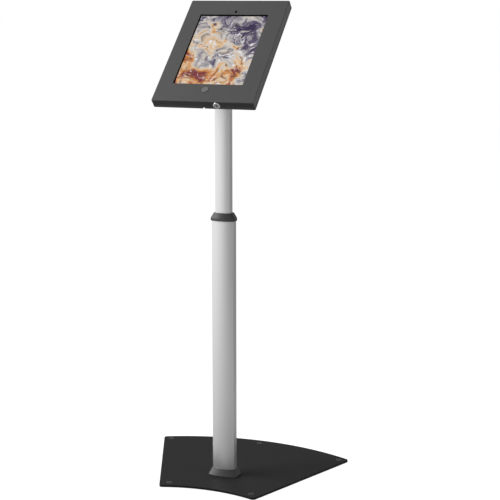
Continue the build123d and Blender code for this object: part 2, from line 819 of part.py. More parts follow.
# Hinge pins, pressed in the tray's knuckles
with BuildPart() as hinge_pins:
    for place in (-hinge_place, hinge_place):
        with BuildSketch(hinge_side.offset(place)):
            Circle(hinge_pin_r)
        extrude(amount=hinge_leaf * 1.5 + soft_gap, both=True)
hinge_pins.part.label = "hinge_pins"
export_step(hinge_pins.part, "parts/hinge_pins.step")

# Front frame: a folded sheet with the window, camera and key holes
with BuildPart() as front_frame:
    with BuildSketch(face_plane):
        RectangleRounded(panel_width, panel_height, panel_corner)
    extrude(amount=-skirt_depth)
    fillet(front_frame.faces().sort_by(out_axis)[-1].edges(), panel_edge)
    with BuildSketch(face_plane.offset(-sheet)):
        RectangleRounded(panel_width - 2 * sheet, panel_height - 2 * sheet, panel_corner - sheet)
    extrude(amount=-skirt_depth, mode=Mode.SUBTRACT)
    with BuildSketch(face_plane):
        with Locations((window_shift, window_rise)):
            RectangleRounded(window_width, window_height, window_corner)
        with Locations((0, camera_rise)):
            Circle(camera_r)
        with Locations((window_shift, -key_drop)):
            Circle(key_r + soft_gap)
    extrude(amount=-sheet, mode=Mode.SUBTRACT)
    with BuildSketch(lock_plane):
        Circle(lock_body_r + soft_gap)
        Rectangle(2 * (lock_body_r + soft_gap), skirt_depth, align=(Align.CENTER, Align.MAX))
    extrude(amount=-lock_seat, mode=Mode.SUBTRACT)
    for place in (-hinge_place, hinge_place):
        with BuildSketch(hinge_side.offset(place)):
            Circle(hinge_r)
            Rectangle(hinge_out - panel_height / 2 + sheet / 2, hinge_r, align=(Align.MAX, Align.MIN))
            Circle(hinge_pin_r + turn_gap, mode=Mode.SUBTRACT)
        extrude(amount=hinge_leaf / 2, both=True)
front_frame.part.label = "front_frame"
export_step(front_frame.part, "parts/front_frame.step")

# Foam gasket round the window, cut away at the home key
with BuildPart() as window_gasket:
    with BuildSketch(face_plane.offset(-sheet)):
        with Locations((window_shift, window_rise)):
            Rectangle(
                window_width + 2 * (gasket_set + gasket_width),
                window_height + 2 * (gasket_set + gasket_width),
            )
            Rectangle(window_width + 2 * gasket_set, window_height + 2 * gasket_set, mode=Mode.SUBTRACT)
        with Locations((window_shift, -key_drop)):
            Circle(retainer_r + soft_gap, mode=Mode.SUBTRACT)
    extrude(amount=-gasket_thick)
window_gasket.part.label = "window_gasket"
export_step(window_gasket.part, "parts/window_gasket.step")

# Home key: a domed cap with a flange and a stem, and the cup that retains it
key_plane = Plane(
    origin=face_plane.from_local_coords((window_shift, -key_drop, 0)),
    x_dir=(1, 0, 0),
    z_dir=panel_out,
)
flange_top = sheet + turn_gap
with BuildPart() as home_key:
    with BuildSketch(key_plane.offset(-flange_top)):
        Circle(key_r)
    extrude(amount=flange_top + key_dome)
    fillet(home_key.faces().sort_by(out_axis)[-1].edges(), key_dome)
    with BuildSketch(key_plane.offset(-flange_top)):
        Circle(key_flange_r)
    extrude(amount=-key_flange)
    with BuildSketch(key_plane.offset(-flange_top - key_flange)):
        Circle(key_stem_r)
    extrude(amount=-(key_travel + retainer_floor))
home_key.part.label = "home_key"
export_step(home_key.part, "parts/home_key.step")

retainer_inside = flange_top + key_flange + key_travel + turn_gap
with BuildPart() as key_retainer:
    with BuildSketch(key_plane.offset(-sheet)):
        Circle(retainer_r)
        Circle(retainer_r - retainer_wall, mode=Mode.SUBTRACT)
    extrude(amount=sheet - retainer_inside)
    with BuildSketch(key_plane.offset(-retainer_inside)):
        Circle(retainer_r)
        Circle(key_stem_r + soft_gap, mode=Mode.SUBTRACT)
    extrude(amount=-retainer_floor)
key_retainer.part.label = "key_retainer"
export_step(key_retainer.part, "parts/key_retainer.step")

# Tablet: aluminium back, black border glass and the screen
tablet_plane = Plane(
    origin=face_plane.from_local_coords((window_shift, window_rise, 0)),
    x_dir=(1, 0, 0),
    z_dir=panel_out,
)
with BuildPart() as tablet_body:
    with BuildSketch(tablet_plane.offset(-tablet_back)):
        RectangleRounded(tablet_width, tablet_height, tablet_corner)
    extrude(amount=tablet_thick - glass_thick)
    fillet(tablet_body.faces().sort_by(out_axis)[0].edges(), tablet_edge)
tablet_body.part.label = "tablet_body"
export_step(tablet_body.part, "parts/tablet_body.step")

with BuildPart() as tablet_border:
    with BuildSketch(tablet_plane.offset(-tablet_set)):
        RectangleRounded(tablet_width, tablet_height, tablet_corner)
        Rectangle(screen_width, screen_height, mode=Mode.SUBTRACT)
    extrude(amount=-glass_thick)
tablet_border.part.label = "tablet_border"
export_step(tablet_border.part, "parts/tablet_border.step")

with BuildPart() as tablet_screen:
    with BuildSketch(tablet_plane.offset(-tablet_set)):
        Rectangle(screen_width, screen_height)
    extrude(amount=-glass_thick)
tablet_screen.part.label = "tablet_screen"
export_step(tablet_screen.part, "parts/tablet_screen.step")

# Foam corners: each fills a tray corner and cups a corner of the tablet
inner_x = tray_width / 2 - sheet - soft_gap
inner_y = tray_height / 2 - sheet - soft_gap
for name, side, level in (
    ("top_left", -1, 1),
    ("top_right", 1, 1),
    ("bottom_left", -1, -1),
    ("bottom_right", 1, -1),
):
    near_x = tablet_width / 2 - cushion_under + side * window_shift
    near_y = tablet_height / 2 - cushion_under + level * window_rise
    with BuildPart() as cushion:
        with BuildSketch(face_plane.offset(-tray_floor)) as cushion_sketch:
            with Locations((side * (inner_x + near_x) / 2, level * (inner_y + near_y) / 2)):
                Rectangle(inner_x - near_x, inner_y - near_y)
            fillet(cushion_sketch.vertices(), cushion_corner)
        extrude(amount=tray_floor - cushion_front)
        with BuildSketch(tablet_plane.offset(-tablet_back)):
            RectangleRounded(tablet_width, tablet_height, tablet_corner)
        extrude(amount=tablet_thick, mode=Mode.SUBTRACT)
    cushion.part.label = "cushion_" + name
    export_step(cushion.part, "parts/cushion_" + name + ".step")

# Cam lock: round-edged barrel through the tray's bottom wall, nut inside
with BuildPart() as lock_barrel:
    with BuildSketch(lock_plane):
        Circle(lock_flange_r)
    extrude(amount=lock_flange)
    fillet(lock_barrel.faces().sort_by(lock_axis)[-1].edges(), lock_bevel)
    with BuildSketch(lock_plane):
        Circle(lock_body_r)
    extrude(amount=-lock_body)
    with BuildSketch(lock_plane.offset(lock_flange)):
        Circle(plug_r + turn_gap)
    extrude(amount=-(lock_flange + lock_body), mode=Mode.SUBTRACT)
    with BuildSketch(lock_plane.offset(lock_flange)):
        Circle(plug_head_r + turn_gap)
    extrude(amount=-(plug_head + turn_gap), mode=Mode.SUBTRACT)
lock_barrel.part.label = "lock_barrel"
export_step(lock_barrel.part, "parts/lock_barrel.step")

with BuildPart() as lock_nut_ring:
    with BuildSketch(lock_plane.offset(-lock_seat - sheet)):
        RegularPolygon(lock_nut_r, 6)
        Circle(lock_body_r + seat_gap, mode=Mode.SUBTRACT)
    extrude(amount=-lock_nut)
lock_nut_ring.part.label = "lock_nut"
export_step(lock_nut_ring.part, "parts/lock_nut.step")

# Lock plug with its keyway, square tail and blind screw hole
cam_top = -(lock_body + turn_gap + hole_gap)
with BuildPart() as lock_plug:
    with BuildSketch(lock_plane.offset(lock_flange)):
        Circle(plug_head_r)
    extrude(amount=-plug_head)
    with BuildSketch(lock_plane.offset(lock_flange - plug_head)):
        Circle(plug_r)
    extrude(amount=-(lock_flange - plug_head - cam_top))
    with BuildSketch(lock_plane.offset(cam_top)):
        Rectangle(plug_square, plug_square)
    extrude(amount=-cam_thick)
    with BuildSketch(lock_plane.offset(lock_flange)):
        Rectangle(keyway_width, keyway_length)
    extrude(amount=-keyway_depth, mode=Mode.SUBTRACT)
    with BuildSketch(lock_plane.offset(cam_top - cam_thick)):
        Circle(cam_screw_r + seat_gap)
    extrude(amount=2 * cam_thick + 1, mode=Mode.SUBTRACT)
lock_plug.part.label = "lock_plug"
export_step(lock_plug.part, "parts/lock_plug.step")

# Lock cam: stands towards the front when unlocked, turns sideways over the catch
with BuildPart() as lock_cam:
    with BuildSketch(lock_plane.offset(cam_top)):
        Circle(cam_hub_r)
        Rectangle(2 * cam_half, cam_reach, align=(Align.CENTER, Align.MIN))
        Rectangle(plug_square + 2 * seat_gap, plug_square + 2 * seat_gap, mode=Mode.SUBTRACT)
    extrude(amount=-cam_thick)
lock_cam.part.label = "lock_cam"
export_step(lock_cam.part, "parts/lock_cam.step")

with BuildPart() as cam_screw:
    with BuildSketch(lock_plane.offset(cam_top - cam_thick)):
        Circle(cam_screw_head_r)
    extrude(amount=-cam_screw_head)
    with BuildSketch(lock_plane.offset(cam_top - cam_thick)):
        Circle(cam_screw_r)
    extrude(amount=2 * cam_thick)
cam_screw.part.label = "cam_screw"
export_step(cam_screw.part, "parts/cam_screw.step")

# Catch on the back of the front frame, with a lip behind the turned cam
catch_out = cam_reach + catch_set
lip_depth = cam_half + catch_gap
lip_edge = cam_hub_r + catch_gap
with BuildPart() as lock_catch:
    with BuildSketch(lock_plane.offset(cam_top)):
        with BuildLine():
            Polyline(
                (catch_out, lock_set - sheet),
                (catch_out + catch_flange, lock_set - sheet),
                (catch_out + catch_flange, lock_set - sheet - catch_thick),
                (catch_out + catch_thick, lock_set - sheet - catch_thick),
                (catch_out + catch_thick, -lip_depth - catch_thick),
                (lip_edge, -lip_depth - catch_thick),
                (lip_edge, -lip_depth),
                (catch_out, -lip_depth),
                close=True,
            )
        make_face()
    extrude(amount=-catch_width)
lock_catch.part.label = "lock_catch"
export_step(lock_catch.part, "parts/lock_catch.step")
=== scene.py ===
import json
import bmesh
import bpy
import numpy as np
from math import pi, radians
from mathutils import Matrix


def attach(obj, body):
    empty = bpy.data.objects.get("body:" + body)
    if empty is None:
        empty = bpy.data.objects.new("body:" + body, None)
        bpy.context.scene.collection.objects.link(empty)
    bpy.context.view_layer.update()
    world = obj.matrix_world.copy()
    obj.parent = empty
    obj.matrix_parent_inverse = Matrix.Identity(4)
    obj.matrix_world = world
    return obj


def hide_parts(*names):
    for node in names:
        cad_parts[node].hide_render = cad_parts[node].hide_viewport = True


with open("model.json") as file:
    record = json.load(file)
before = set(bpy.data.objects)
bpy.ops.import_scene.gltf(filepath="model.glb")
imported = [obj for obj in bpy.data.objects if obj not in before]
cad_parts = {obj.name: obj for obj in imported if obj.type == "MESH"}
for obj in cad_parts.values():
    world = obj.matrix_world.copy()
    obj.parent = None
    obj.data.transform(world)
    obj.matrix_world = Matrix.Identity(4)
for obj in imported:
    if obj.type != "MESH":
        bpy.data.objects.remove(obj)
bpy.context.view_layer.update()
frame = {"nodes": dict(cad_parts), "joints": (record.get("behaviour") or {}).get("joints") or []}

nodes = frame["nodes"]
print("frame loaded:", len(nodes), "nodes")

# Camera, from the edges measured in the photograph: metres, degrees, millimetres of lens
camera = {
    "place": (1.0129, -2.52066, 1.0297),
    "turn": 20.74,
    "down": 10.98,
    "lens": 94.74,
    "sensor": 36,
    "clip": 50,
}
lensData = bpy.data.cameras.new("camera")
lensData.lens = camera["lens"]
lensData.sensor_width = camera["sensor"]
lensData.clip_end = camera["clip"]
cameraObject = bpy.data.objects.new("camera", lensData)
cameraObject.location = camera["place"]
cameraObject.rotation_euler = (radians(90 - camera["down"]), 0, radians(camera["turn"]))
bpy.context.scene.collection.objects.link(cameraObject)
bpy.context.scene.camera = cameraObject
print("camera placed")


class Flow:
    # One output of a material's nodes: arithmetic on it adds Math nodes
    def __init__(self, paint, socket):
        self.paint = paint
        self.socket = socket

    def math(self, operation, *others, flip=False):
        values = [self, *others]
        if flip:
            values.reverse()
        return self.paint.add("ShaderNodeMath", {"operation": operation}, dict(enumerate(values)))

    def held(self, low, high):
        return self.math("MAXIMUM", low).math("MINIMUM", high)

    def swing(self, spread):
        # A noise, whose middle is a half, as a change to both sides of nothing
        return (self - 0.5) * spread

    def __add__(self, other):
        return self.math("ADD", other)

    __radd__ = __add__

    def __mul__(self, other):
        return self.math("MULTIPLY", other)

    __rmul__ = __mul__

    def __sub__(self, other):
        return self.math("SUBTRACT", other)

    def __rsub__(self, other):
        return self.math("SUBTRACT", other, flip=True)

    def __gt__(self, other):
        return self.math("GREATER_THAN", other)

    def __lt__(self, other):
        return self.math("LESS_THAN", other)


class Paint:
    # A material or a world, and the one method that adds a node to it
    def __init__(self, owner):
        self.owner = owner
        owner.use_nodes = True
        self.tree = owner.node_tree
        self.tree.nodes.clear()

    def add(self, kind, settings=None, inputs=None, output=0):
        made = self.tree.nodes.new(kind)
        for name, value in (settings or {}).items():
            if name == "stops":
                ramp = made.color_ramp.elements
                while len(ramp) < len(value):
                    ramp.new(0.5)
                for stop, (place, colour) in zip(ramp, value):
                    stop.position = place
                    stop.color = (*colour, 1)
            else:
                setattr(made, name, value)
        for name, value in (inputs or {}).items():
            if isinstance(value, Flow):
                self.tree.links.new(value.socket, made.inputs[name])
            else:
                made.inputs[name].default_value = value
        return Flow(self, made.outputs[output]) if made.outputs else None

    def place(self, scale=(1, 1, 1), location=(0, 0, 0), rotation=(0, 0, 0), kind="POINT"):
        # Object coordinates in metres, moved, turned and scaled
        start = self.add("ShaderNodeTexCoord", output=3)
        inputs = {"Vector": start, "Scale": scale, "Location": location, "Rotation": rotation}
        return self.add("ShaderNodeMapping", {"vector_type": kind}, inputs)

    def along(self, vector, axis):
        # One of a vector's three numbers
        return self.add("ShaderNodeSeparateXYZ", {}, {0: vector}, output=axis)

    def noise(self, vector, scale, detail=2.0, rough=0.5, output=0):
        inputs = {"Vector": vector, "Scale": scale, "Detail": detail, "Roughness": rough}
        return self.add("ShaderNodeTexNoise", {}, inputs, output)

    def blend(self, factor, low, high):
        inputs = {0: factor, 6: low, 7: high}
        return self.add("ShaderNodeMix", {"data_type": "RGBA"}, inputs, output=2)

    def bump(self, height, strength, distance):
        inputs = {"Height": height, "Strength": strength, "Distance": distance}
        return self.add("ShaderNodeBump", {}, inputs)

    def surface(self, inputs):
        shader = self.add("ShaderNodeBsdfPrincipled", {}, inputs)
        self.add("ShaderNodeOutputMaterial", {}, {"Surface": shader})
        return self.owner


def newPaint(name):
    return Paint(bpy.data.materials.new(name))


def grey(value):
    return (value, value, value, 1)


# In the finishes below, a noise is given as its scale per metre, detail and roughness,
# tones are the shares of the colour that it drifts between, and depth is in metres.

# Powder coat: a fine orange peel, with a faint drift of tone across the sheet
coat = {
    "peel": (1400, 3, 0.6),
    "drift": (9, 2),
    "tones": (0.94, 1.06),
    "roughPeel": 0.12,
    "roughDrift": 0.06,
    "grain": 0.25,
    "depth": 0.00015,
}


def powderCoat(name, tone, rough, gloss):
    paint = newPaint(name)
    at = paint.place()
    peel = paint.noise(at, *coat["peel"])
    drift = paint.noise(at, *coat["drift"])
    low, high = coat["tones"]
    return paint.surface({
        "Base Color": paint.blend(drift, grey(tone * low), grey(tone * high)),
        "Roughness": rough + peel.swing(coat["roughPeel"]) + drift.swing(coat["roughDrift"]),
        "Specular IOR Level": gloss,
        "Normal": paint.bump(peel, coat["grain"], coat["depth"]),
    })


# Anodised extrusion: fine streaks drawn along the column
extrusion = {
    "streak": (900, 3, 0.65),
    "streakDrawn": 0.004,    # the noise's scale along the column, as a share of that across
    "drift": (25, 2),
    "driftDrawn": 0.15,
    "tones": (0.97, 1.02),
    "roughStreak": 0.1,
    "roughDrift": 0.04,
    "grain": 0.12,
    "depth": 0.0001,
}


def anodised(name, tone, rough, metal):
    paint = newPaint(name)
    drawn = paint.place(scale=(1, 1, extrusion["streakDrawn"]))
    streak = paint.noise(drawn, *extrusion["streak"])
    drift = paint.noise(paint.place(scale=(1, 1, extrusion["driftDrawn"])), *extrusion["drift"])
    uneven = streak.swing(extrusion["roughStreak"]) + drift.swing(extrusion["roughDrift"])
    low, high = extrusion["tones"]
    return paint.surface({
        "Base Color": paint.blend(streak, grey(tone * low), grey(tone * high)),
        "Metallic": metal,
        "Roughness": rough + uneven,
        "Normal": paint.bump(streak, extrusion["grain"], extrusion["depth"]),
    })


# Moulded plastic: an even eroded grain
mould = {
    "skin": (2200, 2, 0.5),
    "drift": (30, 2),
    "tones": (0.93, 1.07),
    "roughSkin": 0.15,
    "depth": 0.0001,
}


def moulded(name, tone, rough, grain=0.2, gloss=0.5):
    paint = newPaint(name)
    at = paint.place()
    skin = paint.noise(at, *mould["skin"])
    drift = paint.noise(at, *mould["drift"])
    low, high = mould["tones"]
    return paint.surface({
        "Base Color": paint.blend(drift, grey(tone * low), grey(tone * high)),
        "Roughness": rough + skin.swing(mould["roughSkin"]),
        "Specular IOR Level": gloss,
        "Normal": paint.bump(skin, grain, mould["depth"]),
    })


# Plated or turned metal: a bright skin with a slight mottle
plating = {
    "cloud": (180, 3, 0.6),
    "fine": (1800, 2),
    "dull": 0.92,
    "roughFine": 0.05,
    "grain": 0.05,
    "depth": 0.00005,
}


def plated(name, tone, rough, mottle=0.08):
    paint = newPaint(name)
    at = paint.place()
    cloud = paint.noise(at, *plating["cloud"])
    fine = paint.noise(at, *plating["fine"])
    dull = [part * plating["dull"] for part in tone]
    return paint.surface({
        "Base Color": paint.blend(cloud, (*dull, 1), (*tone, 1)),
        "Metallic": 1.0,
        "Roughness": rough + cloud.swing(mottle) + fine.swing(plating["roughFine"]),
        "Normal": paint.bump(fine, plating["grain"], plating["depth"]),
    })


# Rubber and closed-cell foam: a matt skin with small cells
cellSkin = {
    "drift": (40, 2),
    "tones": (0.85, 1.15),
    "roughDrift": 0.1,
    "depth": 0.0002,
}


def cellular(name, tone, rough, cellScale, grain):
    paint = newPaint(name)
    at = paint.place()
    cells = paint.add("ShaderNodeTexVoronoi", {}, {"Vector": at, "Scale": cellScale})
    drift = paint.noise(at, *cellSkin["drift"])
    low, high = cellSkin["tones"]
    return paint.surface({
        "Base Color": paint.blend(drift, grey(tone * low), grey(tone * high)),
        "Roughness": rough + drift.swing(cellSkin["roughDrift"]),
        "Normal": paint.bump(cells, grain, cellSkin["depth"]),
    })


finishes = {
    "basePaint": powderCoat("basePaint", 0.024, 0.6, 0.15),
    "framePaint": powderCoat("framePaint", 0.108, 0.42, 0.25),
    "trayPaint": powderCoat("trayPaint", 0.075, 0.4, 0.5),
    "blackPaint": powderCoat("blackPaint", 0.028, 0.45, 0.5),
    "column": anodised("column", 0.85, 0.34, 0.85),
    "plastic": moulded("plastic", 0.025, 0.43, gloss=0.95),
    "zinc": plated("zinc", (0.55, 0.56, 0.57), 0.32),
    "screwSteel": plated("screwSteel", (0.21, 0.21, 0.22), 0.34),
    "brass": plated("brass", (0.75, 0.58, 0.3), 0.3),
    "lockNickel": plated("lockNickel", (0.75, 0.75, 0.76), 0.24, 0.04),
    "lockSteel": plated("lockSteel", (0.3, 0.3, 0.31), 0.3, 0.06),
    "rubber": cellular("rubber", 0.02, 0.75, 900, 0.1),
    "foam": cellular("foam", 0.035, 0.9, 1400, 0.4),
    "keyGrey": moulded("keyGrey", 0.19, 0.42, 0.08),
    "tabletShell": plated("tabletShell", (0.68, 0.69, 0.7), 0.4),
    "borderGlass": moulded("borderGlass", 0.006, 0.08, 0.0),
}
print("finishes made")


# Screen picture: a made-up abstract of warm sweeps, pale mist and violet, with lozenges and
# contour strokes. It reads the screen's own plane, where half the screen's width is 1.
screen = {
    "centre": (-0.0018, -0.0056, 0.9193),
    "lean": 42.3,
    "half": 0.0738,
    "glow": 0.9,
    "body": 0.01,
    "rough": 0.12,
    "push": (1.6, 2.0),    # a noise that bends the pattern, and how far it does
    "pushed": (1.1, 1.1, 0.0),
    "swirl": (1.2, 4, 0.6),
    "sweep": {"gain": 1.25, "less": 0.13, "across": 0.07, "up": 0.055},
    "inks": [
        (0.28, (0.035, 0.022, 0.075)),
        (0.37, (0.12, 0.10, 0.17)),
        (0.43, (0.38, 0.36, 0.38)),
        (0.50, (0.66, 0.60, 0.53)),
        (0.56, (0.78, 0.50, 0.26)),
        (0.63, (0.62, 0.24, 0.05)),
        (0.72, (0.22, 0.03, 0.04)),
    ],
    "brush": (5.5, 3, 0.6),
    "shadow": {"below": 0.47, "gain": 6.0, "ink": (0.06, 0.04, 0.07, 1)},
    "light": {"above": 0.54, "gain": 4.5, "ink": (0.84, 0.8, 0.76, 1)},
    "stroke": {
        "contours": (2.2, 1, 0.4),
        "count": 9,
        "width": 0.07,
        "where": (1.7, 1),
        "above": 0.52,
        "cover": 0.75,
        "ink": (0.87, 0.84, 0.88, 1),
    },
    "lozenge": {
        "cells": {"Scale": 3.4, "Randomness": 0.9},
        "above": 0.55,
        "ring": {"reach": 0.25, "width": 0.07, "cover": 0.9, "ink": (0.85, 0.84, 0.86, 1)},
        "middle": {"reach": 0.12, "cover": 0.8, "ink": (0.05, 0.03, 0.08, 1)},
    },
}


def screenPicture():
    paint = newPaint("screenPicture")
    at = paint.place(
        scale=(screen["half"],) * 3,
        location=screen["centre"],
        rotation=(radians(screen["lean"]), 0, 0),
        kind="TEXTURE",
    )
    push = paint.noise(at, *screen["push"], output=1)
    bending = {0: push, 1: screen["pushed"], 2: at}
    bent = paint.add("ShaderNodeVectorMath", {"operation": "MULTIPLY_ADD"}, bending)

    # Sweeps of ink by a wide noise, warmer to the lower left
    sweep = screen["sweep"]
    tone = paint.noise(bent, *screen["swirl"]) * sweep["gain"] - sweep["less"]
    tone = tone - paint.along(at, 0) * sweep["across"] - paint.along(at, 1) * sweep["up"]
    colour = paint.add("ShaderNodeValToRGB", {"stops": screen["inks"]}, {0: tone})

    # Brushy light and dark over it, at a few millimetres
    brush = paint.noise(bent, *screen["brush"])
    shadow, light = screen["shadow"], screen["light"]
    colour = paint.blend((shadow["below"] - brush) * shadow["gain"], colour, shadow["ink"])
    colour = paint.blend((brush - light["above"]) * light["gain"], colour, light["ink"])

    # Contour strokes of a second noise, pale and thin
    stroke = screen["stroke"]
    level = (paint.noise(bent, *stroke["contours"]) * stroke["count"]).math("FRACT")
    line = level.math("COMPARE", 0.5, stroke["width"])
    some = paint.noise(at, *stroke["where"]) > stroke["above"]
    colour = paint.blend(line * some * stroke["cover"], colour, stroke["ink"])

    # Lozenges: some cells of a Voronoi pattern, pale with a dark middle
    lozenge = screen["lozenge"]
    ring, middle = lozenge["ring"], lozenge["middle"]
    cells = {"Vector": at, **lozenge["cells"]}
    reach = paint.add("ShaderNodeTexVoronoi", {"distance": "MANHATTAN"}, cells)
    chance = paint.add("ShaderNodeTexVoronoi", {"distance": "MANHATTAN"}, cells, output=1)
    picked = paint.add("ShaderNodeSeparateColor", {}, {0: chance}) > lozenge["above"]
    pale = reach.math("COMPARE", ring["reach"], ring["width"]) * picked * ring["cover"]
    dark = (reach < middle["reach"]) * picked * middle["cover"]
    colour = paint.blend(pale, colour, ring["ink"])
    colour = paint.blend(dark, colour, middle["ink"])
    return paint.surface({
        "Base Color": grey(screen["body"]),
        "Roughness": screen["rough"],
        "Emission Color": colour,
        "Emission Strength": screen["glow"],
    })


finishes["screenPicture"] = screenPicture()
print("screen picture made")

dressing = {
    "basePaint": ["base_plate"],
    "framePaint": ["front_frame"],
    "trayPaint": ["back_tray"],
    "blackPaint": ["head_cap", "tilt_bracket", "adapter_plate", "column_insert"],
    "column": ["lower_column", "upper_column"],
    "plastic": ["foot_shroud", "column_collar", "column_glide", "clamp_knob", "tilt_washers",
                "hub_washer", "key_retainer"],
    "zinc": ["column_bolts", "column_side_screws", "cap_screws", "glide_pin", "tilt_bolt",
             "tilt_nut", "hinge_pins", "adapter_screws", "hub_bolt", "hub_nut", "turn_stop",
             "lock_cam", "cam_screw", "lock_catch", "lock_nut"],
    "screwSteel": ["foot_screws"],
    "brass": ["clamp_boss", "clamp_pad"],
    "lockNickel": ["lock_barrel"],
    "lockSteel": ["lock_plug"],
    "rubber": ["foot_back_left", "foot_back_right", "foot_front_left", "foot_front_right",
               "foot_back_middle", "foot_centre"],
    "foam": ["cushion_top_left", "cushion_top_right", "cushion_bottom_left",
             "cushion_bottom_right", "window_gasket"],
    "keyGrey": ["home_key"],
    "tabletShell": ["tablet_body"],
    "borderGlass": ["tablet_border"],
    "screenPicture": ["tablet_screen"],
}
for finish, names in dressing.items():
    for name in names:
        nodes[name].data.materials.clear()
        nodes[name].data.materials.append(finishes[finish])
print("nodes dressed")

# The enclosure's own axes: across, up its front and out of it, from the joint it turns on
joints = {joint["name"]: joint for joint in frame["joints"]}
hub = np.array(joints["panel_turn"]["pos_m"])
outward = np.array(joints["panel_turn"]["axis"])
upward = np.cross(outward, (1, 0, 0))
faceReach = 0.05155    # from the hub's mark out to the front face
weldReach = 1e-6       # points of a surface this near each other become one


def onPanel(across, up, behind):
    # Places on the enclosure: across and up from the middle of its front, and behind that face
    parts = np.broadcast_arrays(across, up, behind)
    across, up, behind = [part[..., None] for part in parts]
    face = hub + outward * faceReach
    return face + across * np.array((1, 0, 0)) + up * upward - behind * outward


def gridFaces(rows, cols, wrapRows=False, wrapCols=False):
    # Quads between neighbouring rows and columns of a grid, which may close on itself
    rowStarts = np.arange(rows if wrapRows else rows - 1)
    colStarts = np.arange(cols if wrapCols else cols - 1)
    row, col = np.meshgrid(rowStarts, colStarts, indexing="ij")
    nextRow, nextCol = (row + 1) % rows, (col + 1) % cols
    corners = [(row, col), (row, nextCol), (nextRow, nextCol), (nextRow, col)]
    return np.stack([r * cols + c for r, c in corners], -1).reshape(-1, 4).tolist()


def makePiece(name, body, finish, points, faces):
    mesh = bpy.data.meshes.new(name)
    mesh.from_pydata(points.reshape(-1, 3).tolist(), [], faces)
    shell = bmesh.new()
    shell.from_mesh(mesh)
    bmesh.ops.remove_doubles(shell, verts=shell.verts, dist=weldReach)
    bmesh.ops.recalc_face_normals(shell, faces=shell.faces)
    shell.to_mesh(mesh)
    shell.free()
    mesh.polygons.foreach_set("use_smooth", np.ones(len(mesh.polygons), dtype=bool))
    mesh.materials.append(finishes[finish])
    piece = bpy.data.objects.new(name, mesh)
    bpy.context.scene.collection.objects.link(piece)
    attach(piece, body)
    return piece


# Places on the enclosure are across and up from the middle of its front, and depths behind it
tablet = {
    "centre": (-0.0018, 0.0024),
    "half": (0.085, 0.12),
    "corner": 0.008,
    "glass": 0.0035,
    "back": 0.01105,
}
foam = {
    "wall": (0.1068, 0.1426),    # its outer edges, at the tray's walls
    "under": 0.012,              # how far it reaches under the tablet
    "corner": 0.004,
    "rim": 0.0012,
    "floor": 0.0203,
    "front": 0.0048,
    "step": 0.0007,
    "count": 81,
    "places": {
        "top_left": (-1, 1),
        "top_right": (1, 1),
        "bottom_left": (-1, -1),
        "bottom_right": (1, -1),
    },
}


def foamCorner(name, side, level):
    # Depths over a rounded rectangle: the foam's front, let down by a smooth step to the
    # pocket where the tablet's outline covers it, and rolled over at the rim. Its edge is
    # carried down to the tray's floor and closed there.
    ends = []
    for axis, sign in enumerate((side, level)):
        near = tablet["half"][axis] - foam["under"] + sign * tablet["centre"][axis]
        ends.append(sorted((sign * near, sign * foam["wall"][axis])))
    (left, right), (low, high) = ends
    halfX, halfY = (right - left) / 2, (high - low) / 2

    # Rows of points, closer together at the edges, each as wide as the outline is there
    count = foam["count"]
    spread = np.sin(np.linspace(-pi / 2, pi / 2, count))
    beyond = np.clip(np.abs(spread) * halfY - halfY + foam["corner"], 0, foam["corner"])
    rowHalf = halfX - foam["corner"] + np.sqrt(foam["corner"] ** 2 - beyond ** 2)
    x = (left + right) / 2 + spread[:, None] * rowHalf
    y = np.broadcast_to((low + high) / 2 + spread * halfY, x.shape)

    # The roll is a quarter round at the edge
    rim = np.minimum((1 - np.abs(spread[:, None])) * rowHalf, (1 - np.abs(spread)) * halfY)
    fall = np.clip(foam["rim"] - rim, 0, foam["rim"])
    roll = foam["rim"] - np.sqrt(foam["rim"] ** 2 - fall ** 2)

    # How far each point lies outside the tablet's rounded outline, and so how much is covered
    overX = np.abs(x - tablet["centre"][0]) - tablet["half"][0] + tablet["corner"]
    overY = np.abs(y - tablet["centre"][1]) - tablet["half"][1] + tablet["corner"]
    outside = np.hypot(np.maximum(overX, 0), np.maximum(overY, 0))
    outside = outside + np.minimum(np.maximum(overX, overY), 0)
    covered = np.clip((foam["step"] + tablet["corner"] - outside) / foam["step"], 0, 1)
    covered = covered * covered * (3 - 2 * covered)
    depth = foam["front"] + (tablet["back"] - foam["front"]) * covered + roll

    top = onPanel(x, y, depth).reshape(-1, 3)
    index = np.arange(count * count).reshape(count, count)
    loop = np.concatenate([index[:-1, 0], index[-1, :-1], index[:0:-1, -1], index[0, :0:-1]])
    foot = onPanel(x.ravel()[loop], y.ravel()[loop], foam["floor"])
    below = count * count + np.arange(len(loop))
    faces = gridFaces(count, count)
    faces += np.stack([loop, np.roll(loop, -1), np.roll(below, -1), below], -1).tolist()
    faces.append(below[::-1].tolist())
    points = np.concatenate([top, foot])
    piece = makePiece("foam_" + name, "panel", "foam", points, faces)
    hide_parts("cushion_" + name)


for name, (side, level) in foam["places"].items():
    foamCorner(name, side, level)
print("foam corners made")

gasket = {
    "half": (0.07925, 0.10375),
    "width": 0.0035,
    "front": 0.0012,
    "thick": 0.002,
    "squareness": 0.45,    # the profile's power: 1 is an ellipse, 0 a rectangle
    "key": (-0.0018, -0.1127),
    "clear": 0.0113,
    "along": 96,
    "round": 20,
}


